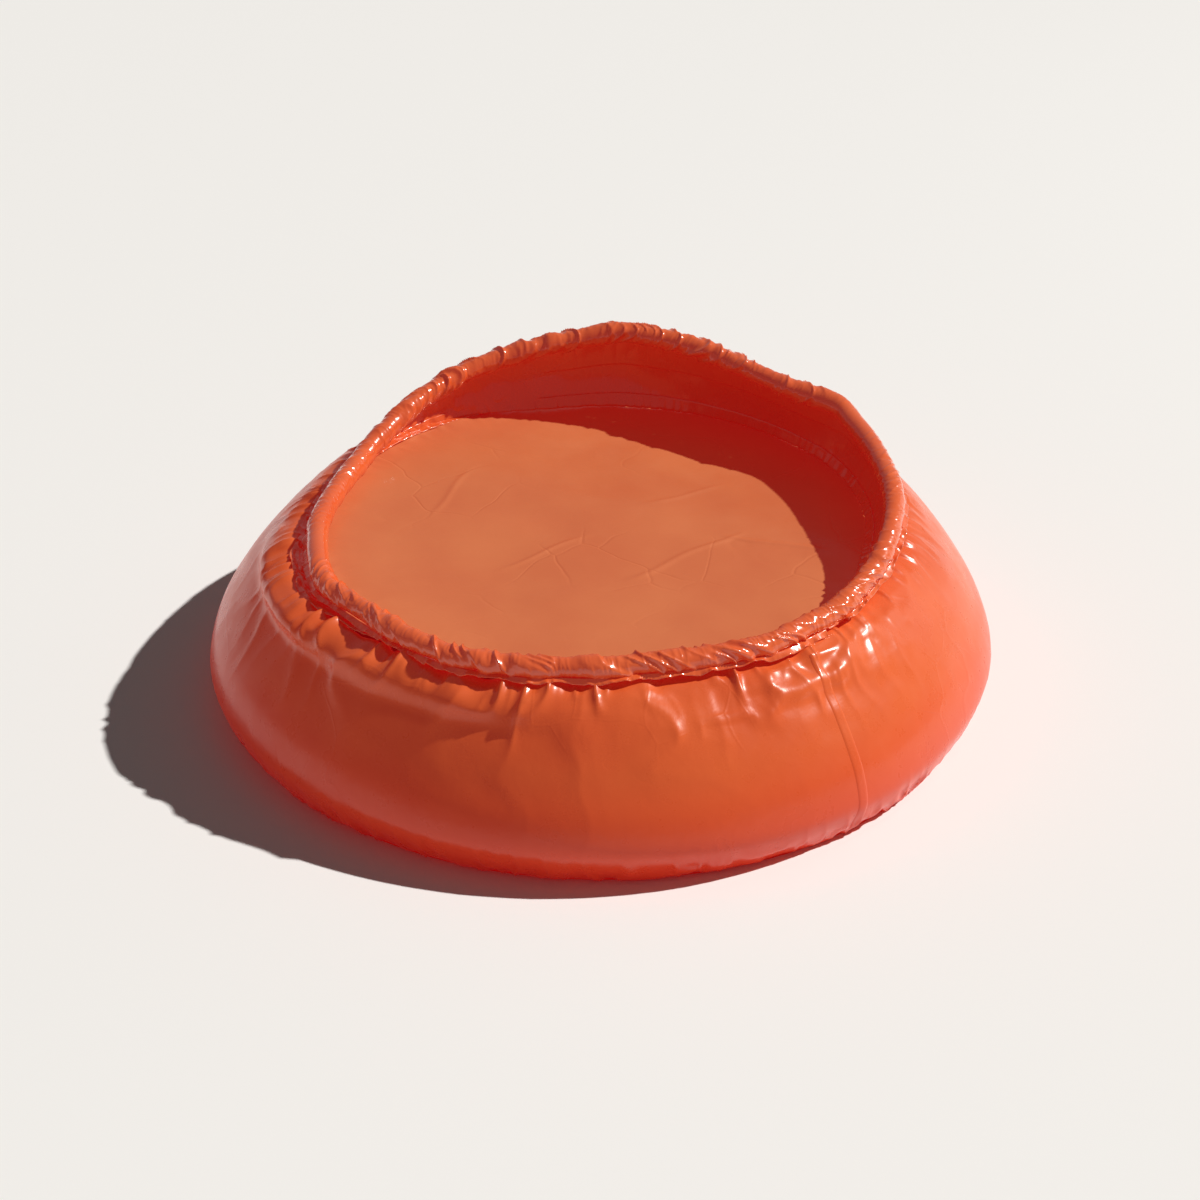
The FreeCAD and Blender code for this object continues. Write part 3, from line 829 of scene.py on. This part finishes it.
class BARRIER_OT_deck(bpy.types.Operator):
    """The flat film inside the collar, with slow swells and a few long creases"""
    bl_idname = "barrier.deck"
    bl_label = "Deck film"

    def execute(self, context):
        shape = context.scene.barrier_deck
        look = context.scene.barrier_film
        degrees = np.arange(shape.around) * 360.0 / shape.around
        theta = np.radians(degrees)[:, None]
        share = np.linspace(0.004, 1, shape.out)[None, :] ** 0.85
        radius = share * (LIP_RADIUS + 0.001 + shoulder_shift(degrees[:, None]))
        x, y = radius * np.cos(theta), radius * np.sin(theta)
        level = Frame.deck_level + deck_relief(x, y, degrees[:, None], radius, shape)
        points = np.stack([x, y, level], -1)
        uv = np.stack([x, y], -1)
        piece = grid_piece("deck_film", points, uv, closed=True, poles=(0,))
        corners = np.empty(len(piece.data.loops), int)
        piece.data.loops.foreach_get("vertex_index", corners)
        flat = np.vstack([uv.reshape(-1, 2), [[0, 0]]])[corners]
        piece.data.uv_layers["FilmMap"].data.foreach_set("uv", flat.astype(np.float32).ravel())
        dress(piece, film_material("deck film", look.deck_light, look.deck_deep,
                                   look.deck_painted_glow, roughness=0.5, coat=0.12, wrinkle=0.08,
                                   crease=0.3))
        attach(piece, "water_bag")
        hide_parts("deck_membrane")
        return {"FINISHED"}


def deck_relief(x, y, degrees, radius, shape):
    """The deck's height over its level: slow swells, long soft creases and edge pleats."""
    swell = shape.swell * (cells(x / 0.13 + 9, y / 0.13 + 9, 51)
                           + 0.45 * cells(x / 0.055 + 9, y / 0.055 + 9, 52))
    from_edge = LIP_RADIUS - 0.01 - radius
    pleat = pleats(degrees / 360 * 150, radius / 0.03, 53, 150, 64, 2) - 0.4
    swell = swell + 0.0022 * pleat * np.exp(-np.abs(from_edge) / 0.012)
    for (x0, y0), (x1, y1), height in DECK_CREASES:
        swell = swell + height * ridge_line(x, y, x0, y0, x1, y1, 0.0035)
    return swell


# Long soft creases of the deck: two ends in metres from its middle, and a height.
DECK_CREASES = (
    ((0.02, -0.13), (0.16, -0.01), 0.0012),
    ((-0.12, -0.10), (-0.01, -0.02), 0.0010),
    ((0.13, -0.02), (0.26, -0.06), 0.0009),
    ((-0.20, 0.02), (-0.15, 0.14), 0.0009),
    ((0.04, 0.05), (0.15, 0.10), 0.0008),
)


def ridge_line(x, y, x0, y0, x1, y1, width):
    """A narrow ridge along a straight stretch, fading at both its ends."""
    length = math.hypot(x1 - x0, y1 - y0)
    along = ((x - x0) * (x1 - x0) + (y - y0) * (y1 - y0)) / length
    across = ((y - y0) * (x1 - x0) - (x - x0) * (y1 - y0)) / length
    across = across + 0.003 * np.sin(along / 0.021)
    ends = np.clip(along / 0.03, 0, 1) * np.clip((length - along) / 0.03, 0, 1)
    return np.exp(-(across / width) ** 2) * ends


class BARRIER_OT_tube(bpy.types.Operator):
    """The hem tube's film in its two rigid runs, its weld fins and the foam rods inside"""
    bl_idname = "barrier.tube"
    bl_label = "Hem tube"

    def execute(self, context):
        look = context.scene.barrier_film
        shape = context.scene.barrier_tube
        path = Path(shape.bow)
        film = film_material("hem film", look.belly_light, look.belly_deep, look.collar_painted_glow,
                             roughness=0.24, coat=0.7, wrinkle=0.16, crease=0.1)
        weld = film_material("hem weld film", look.belly_light, look.belly_deep,
                             look.collar_painted_glow, roughness=0.24, coat=0.6, wrinkle=0.1,
                             crease=0.1)
        foam = foam_material("foam", (0.78, 0.77, 0.72))
        halves = (("back", FOLD_START, FOLD_END), ("front", FOLD_END, FOLD_START + 360))
        first_rod = 1
        for side, start, finish in halves:
            body = f"rim_{side}"
            piece = tube_film(f"hem_tube_{side}", path, start, finish, shape)
            dress(piece, film)
            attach(piece, body)
            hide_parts(f"hem_sleeve_{side}")
            fin = fin_film(f"hem_fin_{side}", path, start + 2.5, finish - 2.5)
            dress(thicken(fin, look.gauge), weld)
            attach(fin, body)
            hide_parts(f"hem_weld_fin_{side}")
            for rod, (rod_start, rod_finish) in enumerate(rod_runs(side), start=first_rod):
                bar = rod_bar(f"foam_rod_{rod}", path, rod_start, rod_finish)
                dress(bar, foam)
                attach(bar, body)
                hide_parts(f"rim_float_{rod}")
                first_rod = rod + 1
                if side == "back":
                    press_flat(bar)
            if side == "back":
                press_flat(piece)
                press_flat(fin)
        for side, middle in (("right", FOLD_START), ("left", FOLD_END)):
            bunch = bunch_film(f"hem_bunch_{side}", path, middle, shape)
            dress(bunch, film)
            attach(bunch, "water_bag")
            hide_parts(f"hem_fold_{side}")
        return {"FINISHED"}


def along_path(path, degrees):
    """The path's points, its ways out and up and its distance run, at azimuths in degrees."""
    line, out, up = (path.sample(degrees, what) for what in ("line", "out", "up"))
    return line, out, up, path.run_at(degrees)


def swept(name, place, phi, radius, girth):
    """A closed bar along a path: its line + radius * (cos phi * out + sin phi * up).

    place is what along_path gives, and girth the radius by which the map runs round the bar.
    """
    line, out, up, run = place
    ways = np.cos(phi)[:, None, None] * out[None] + np.sin(phi)[:, None, None] * up[None]
    points = line[None] + radius[..., None] * ways
    uv = film_map(phi[:, None] * girth, run[None, :])
    return grid_piece(name, points, uv, closed=True, flip=True, poles=(0, -1))


def press_flat(piece):
    """Give a piece of the raised run its own copy of its mesh."""
    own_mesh(piece)


def tube_film(name, path, start, finish, shape):
    """The tube's film: round the path's section by phi, at the gathered radius.

    It runs a little past the fold line at each end, where it is drawn in and closed.
    """
    past = math.degrees(0.003 / RING_RADIUS)
    span = path.run_at(finish + past) - path.run_at(start - past)
    degrees = np.linspace(start - past, finish + past, int(span / shape.step))
    place = along_path(path, degrees)
    phi = np.arange(shape.around) * TURN / shape.around
    run = place[-1]
    radius = tube_radius(run[None, :], phi[:, None], degrees[None, :], path.length, shape)
    beyond = np.maximum(start - degrees, degrees - finish)
    radius = radius * np.where(beyond > 0, 0.97, 1.0)[None, :]
    return swept(name, place, phi, radius, Frame.tube_radius)


def bunch_film(name, path, middle, shape):
    """The bunched film where the tube holds no rod: a short tube that narrows to both ends."""
    half = math.degrees(0.016 / RING_RADIUS)
    degrees = np.linspace(middle - half, middle + half, 48)
    place = along_path(path, degrees)
    phi = np.arange(shape.around) * TURN / shape.around
    run = place[-1]
    narrow = np.sqrt(1 - 0.85 * np.abs(np.linspace(-1, 1, len(degrees))) ** 3)
    radius = tube_radius(run[None, :], phi[:, None], degrees[None, :], path.length, shape)
    radius = 0.9 * radius * narrow[None, :]
    return swept(name, place, phi, radius, Frame.tube_radius)


def fin_film(name, path, start, finish):
    """The weld fin: a ruffled strip that stands off the tube's outer, lower side."""
    degrees = np.linspace(start, finish, 1100)
    line, out, up, run = along_path(path, degrees)
    run = run[None, :]
    share = np.linspace(0, 1, 7)[:, None]
    wave = cells(run / 0.011, 0 * share, 61) + 0.5 * cells(run / 0.005, 0 * share, 62)
    reach = Frame.tube_radius * 0.9 + share * (0.0065 + 0.0015 * cells(run / 0.02, 0 * share, 63))
    angle = -0.55 + 0.12 * share * wave
    side = reach * np.cos(angle)
    rise = reach * np.sin(angle) + 0.0012 * share * wave
    points = line[None] + side[..., None] * out[None] + rise[..., None] * up[None]
    return grid_piece(name, points, film_map(share * 0.008, run))


def rod_runs(side):
    """The azimuths between which each foam rod of one side lies, as the frame has them."""
    names = [n for n in frame["record"]["behaviour"]["bodies"][f"rim_{side}"] if "float" in n]
    start, finish = (FOLD_START, FOLD_END) if side == "back" else (FOLD_END, FOLD_START + 360)
    ends = np.linspace(start + 2.0, finish - 2.0, len(names) + 1)
    return [(low + 0.5, high - 0.5) for low, high in zip(ends[:-1], ends[1:])]


def rod_bar(name, path, start, finish):
    """A foam rod: a round bar along the path, with softly rounded ends."""
    degrees = np.linspace(start, finish, 90)
    place = along_path(path, degrees)
    phi = np.arange(28) * TURN / 28
    run = place[-1]
    inset = np.minimum(run - run[0], run[-1] - run) / 0.003
    radius = Frame.tube_radius * 0.70 * np.sqrt(1 - np.clip(1 - inset, 0, 1) ** 2 * 0.5)
    return swept(name, place, phi, radius[None, :], 0.012)


class BARRIER_OT_collar(bpy.types.Operator):
    """The collar's film: the standing back wall with its hem layers, and the slack front"""
    bl_idname = "barrier.collar"
    bl_label = "Collar film"

    def execute(self, context):
        look = context.scene.barrier_film
        shape = context.scene.barrier_tube
        path = Path(shape.bow)
        film = film_material("collar film", look.belly_light, look.belly_deep, look.collar_painted_glow,
                             roughness=0.30, coat=0.5, wrinkle=0.14, crease=0.25)
        start, finish = FOLD_START - 2, FOLD_END + 2
        wall = wall_film("collar_wall", path, start, finish, 0.0, 1.0, 0.0)
        hem = wall_film("collar_hem_layer", path, start + 7, finish - 7, 0.53, 1.0, 0.0016)
        foot = wall_film("collar_foot_band", path, start + 3, finish - 3, 0.0, 0.17, 0.0014)
        patch = wall_film("collar_lap", path, 82.0, 86.5, 0.55, 1.0, 0.0030)
        for piece, node in ((wall, "collar_back"), (hem, "hem_band_back"), (foot, None),
                            (patch, "collar_lap_patch")):
            thicken(piece, look.gauge)
            dress(piece, film)
            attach(piece, "water_bag")
            if node:
                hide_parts(node)
            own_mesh(piece)
        slack = slack_film("collar_slack", path, FOLD_END - 3, FOLD_START + 363)
        dress(thicken(slack, look.gauge), film)
        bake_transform(slack)
        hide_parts("collar_front")
        return {"FINISHED"}


def wall_film(name, path, start, finish, low, high, inset):
    """A stretch of the collar's back wall, from one share of its height to another.

    The wall runs straight from its foot on the deck to the tube's outer side, bowed out in
    the middle, with small upright pleats at its foot and under the tube.  Along the back the
    foot stands inside the deck's seam.
    """
    degrees = np.linspace(start, finish, max(24, int((finish - start) * 5)))
    rows = max(6, int(46 * (high - low)))
    share = np.linspace(low, high, rows)[:, None]
    line, side, up, run = along_path(path, degrees)
    run = run[None, :]
    head = line + (side * 0.80 - up * 0.42) * Frame.tube_radius
    turn = np.radians(degrees)
    inward = (0.024 * eased(degrees, start + 4, start + 30)
              * eased(-degrees, 22 - finish, 48 - finish))
    foot_radius = LIP_RADIUS - 0.001 + shoulder_shift(degrees) - inward
    foot = np.stack([foot_radius * np.cos(turn), foot_radius * np.sin(turn),
                     np.full(len(turn), Frame.foot_level)], -1)
    base = foot[None] + (head - foot)[None] * share[..., None]
    tall = np.linalg.norm(head - foot, axis=1)[None, :]
    out = np.stack([np.cos(turn), np.sin(turn), 0 * turn], -1)
    top_pleat = pleats(run / 0.0125 + 0.5 * share, share * 2, 71, 256, 64, 2) - 0.4
    foot_pleat = pleats(run / 0.010, share * 3, 72, 256, 64, 2) - 0.4
    broad = cells(run / 0.06, share * 1.6, 73) + 0.5 * cells(run / 0.025, share * 3, 74)
    from_top, from_foot = (1 - share) * tall, share * tall
    offset = (0.0030 * top_pleat * np.exp(-from_top / 0.020)
              + 0.0022 * foot_pleat * np.exp(-from_foot / 0.016)
              + 0.0016 * broad * np.sin(np.pi * share)
              + 0.09 * tall * np.sin(np.pi * share)) - inset
    points = base + offset[..., None] * out[None]
    return grid_piece(name, points, film_map(share * 0.1, run))


def slack_film(name, path, start, finish):
    """The slack front of the collar: it leaves the tube's underside, drops and meets the seam."""
    degrees = np.linspace(start, finish, 1400)
    line, out, up, run = along_path(path, degrees)
    run = run[None, :]
    turn = np.radians(degrees)
    seam_radius = LIP_RADIUS + 0.001 + shoulder_shift(degrees)
    seam = np.stack([seam_radius * np.cos(turn), seam_radius * np.sin(turn),
                     np.full(len(turn), Frame.weld_level + 0.001)], -1)
    top = line + (out * 0.55 - up * 0.72) * Frame.tube_radius
    share = np.linspace(0, 1, 26)[:, None]
    base = top[None] + (seam - top)[None] * share[..., None]
    fold = pleats(run / 0.011 + share, share * 1.5, 81, 256, 64, 2) - 0.4
    floor = Frame.deck_level + 0.0012
    drop = eased(share, 0, 0.35) * (1 - eased(share, 0.8, 1.0))
    points = base.copy()
    points[..., 2] += (floor - points[..., 2]) * drop + 0.0035 * fold * np.sin(np.pi * share)
    points[..., 2] = np.maximum(points[..., 2], floor)
    return grid_piece(name, points, film_map(share * 0.03, run))


class BARRIER_OT_hardware(bpy.types.Operator):
    """The materials of the base disc and the filling valve"""
    bl_idname = "barrier.hardware"
    bl_label = "Valve and base"

    def execute(self, context):
        look = context.scene.barrier_film
        dress_node("base_disc", film_material("base film", look.belly_light, look.belly_deep,
                                              look.belly_painted_glow, roughness=0.4, coat=0.2,
                                              wrinkle=0.1, crease=0.2))
        valve = moulded_material("valve plastic", (0.42, 0.05, 0.02))
        dress_node("fill_valve_body", valve)
        dress_node("fill_valve_cap", valve)
        return {"FINISHED"}


class BARRIER_OT_stage(bpy.types.Operator):
    """The plain floor, the soft lights and the camera"""
    bl_idname = "barrier.stage"
    bl_label = "Stage"

    def execute(self, context):
        look = context.scene.barrier_stage
        scene = context.scene
        mesh = bpy.data.meshes.new("floor")
        reach = 30.0
        mesh.from_pydata([(-reach, -reach, 0), (reach, -reach, 0), (reach, reach, 0),
                          (-reach, reach, 0)], [], [(0, 1, 2, 3)])
        floor = bpy.data.objects.new("floor", mesh)
        scene.collection.objects.link(floor)
        material, _, surface = shader("floor paint")
        surface.inputs["Base Color"].default_value = (*look.floor_colour, 1)
        surface.inputs["Roughness"].default_value = 0.7
        mesh.materials.append(material)

        world = bpy.data.worlds.new("room")
        world.use_nodes = True
        back = world.node_tree.nodes["Background"]
        back.inputs["Color"].default_value = (1.0, 0.99, 0.98, 1)
        seen = add(world.node_tree, "ShaderNodeLightPath")
        level = add(world.node_tree, "ShaderNodeMath", operation="MULTIPLY_ADD")
        world.node_tree.links.new(seen.outputs["Is Glossy Ray"], level.inputs[0])
        level.inputs[1].default_value = look.sheen_strength
        level.inputs[2].default_value = look.fill_strength
        world.node_tree.links.new(level.outputs[0], back.inputs["Strength"])
        scene.world = world

        sun = bpy.data.lights.new("key", "SUN")
        sun.energy = look.key_strength
        sun.angle = math.radians(1.2)
        sun.color = (1.0, 0.97, 0.92)
        aim_light("key", sun, LIT_POINT + 4 * Vector((0.71, 0.10, 0.69)))
        lamp = bpy.data.lights.new("side", "AREA")
        lamp.size = 1.2
        lamp.energy = 3
        aim_light("side", lamp, Vector((2.4, 1.4, 0.9)))

        camera = bpy.data.cameras.new("camera")
        camera.lens = look.lens
        holder = bpy.data.objects.new("camera", camera)
        scene.collection.objects.link(holder)
        aim = Vector((-0.003, 0, look.aim_level))
        tilt = look.camera_elevation
        away = Vector((0, -math.cos(tilt), math.sin(tilt))) * look.camera_distance
        holder.location = aim + away
        holder.rotation_euler = (-away).to_track_quat("-Z", "Y").to_euler()
        scene.camera = holder
        scene.view_settings.view_transform = "Standard"
        return {"FINISHED"}


LIT_POINT = Vector((0, 0, 0.15))


def aim_light(name, lamp, place):
    """Put a light at a place, pointed at the middle of the barrier."""
    holder = bpy.data.objects.new(name, lamp)
    bpy.context.scene.collection.objects.link(holder)
    holder.location = place
    holder.rotation_euler = (LIT_POINT - place).to_track_quat("-Z", "Y").to_euler()


class BARRIER_PT_panel(bpy.types.Panel):
    """Lists the steps that build the barrier"""
    bl_idname = "BARRIER_PT_panel"
    bl_label = "Water Filled Barrier"
    bl_space_type = "VIEW_3D"
    bl_region_type = "UI"
    bl_category = "Barrier"

    def draw(self, context):
        for step in STEPS:
            self.layout.operator(step.bl_idname)


GROUPS = (("barrier_film", FilmLook), ("barrier_belly", BellyShape), ("barrier_tube", TubeShape),
          ("barrier_deck", DeckShape), ("barrier_stage", StageLook))
STEPS = (BARRIER_OT_stage, BARRIER_OT_belly, BARRIER_OT_shoulder, BARRIER_OT_deck,
         BARRIER_OT_tube, BARRIER_OT_collar, BARRIER_OT_hardware)


def register():
    for name, group in GROUPS:
        bpy.utils.register_class(group)
        setattr(bpy.types.Scene, name, PointerProperty(type=group))
    for step in STEPS:
        bpy.utils.register_class(step)
    bpy.utils.register_class(BARRIER_PT_panel)


def unregister():
    bpy.utils.unregister_class(BARRIER_PT_panel)
    for step in reversed(STEPS):
        bpy.utils.unregister_class(step)
    for name, group in reversed(GROUPS):
        delattr(bpy.types.Scene, name)
        bpy.utils.unregister_class(group)


def main():
    register()
    for step in STEPS:
        section, action = step.bl_idname.split(".")
        getattr(getattr(bpy.ops, section), action)()


if __name__ == "__main__":
    main()
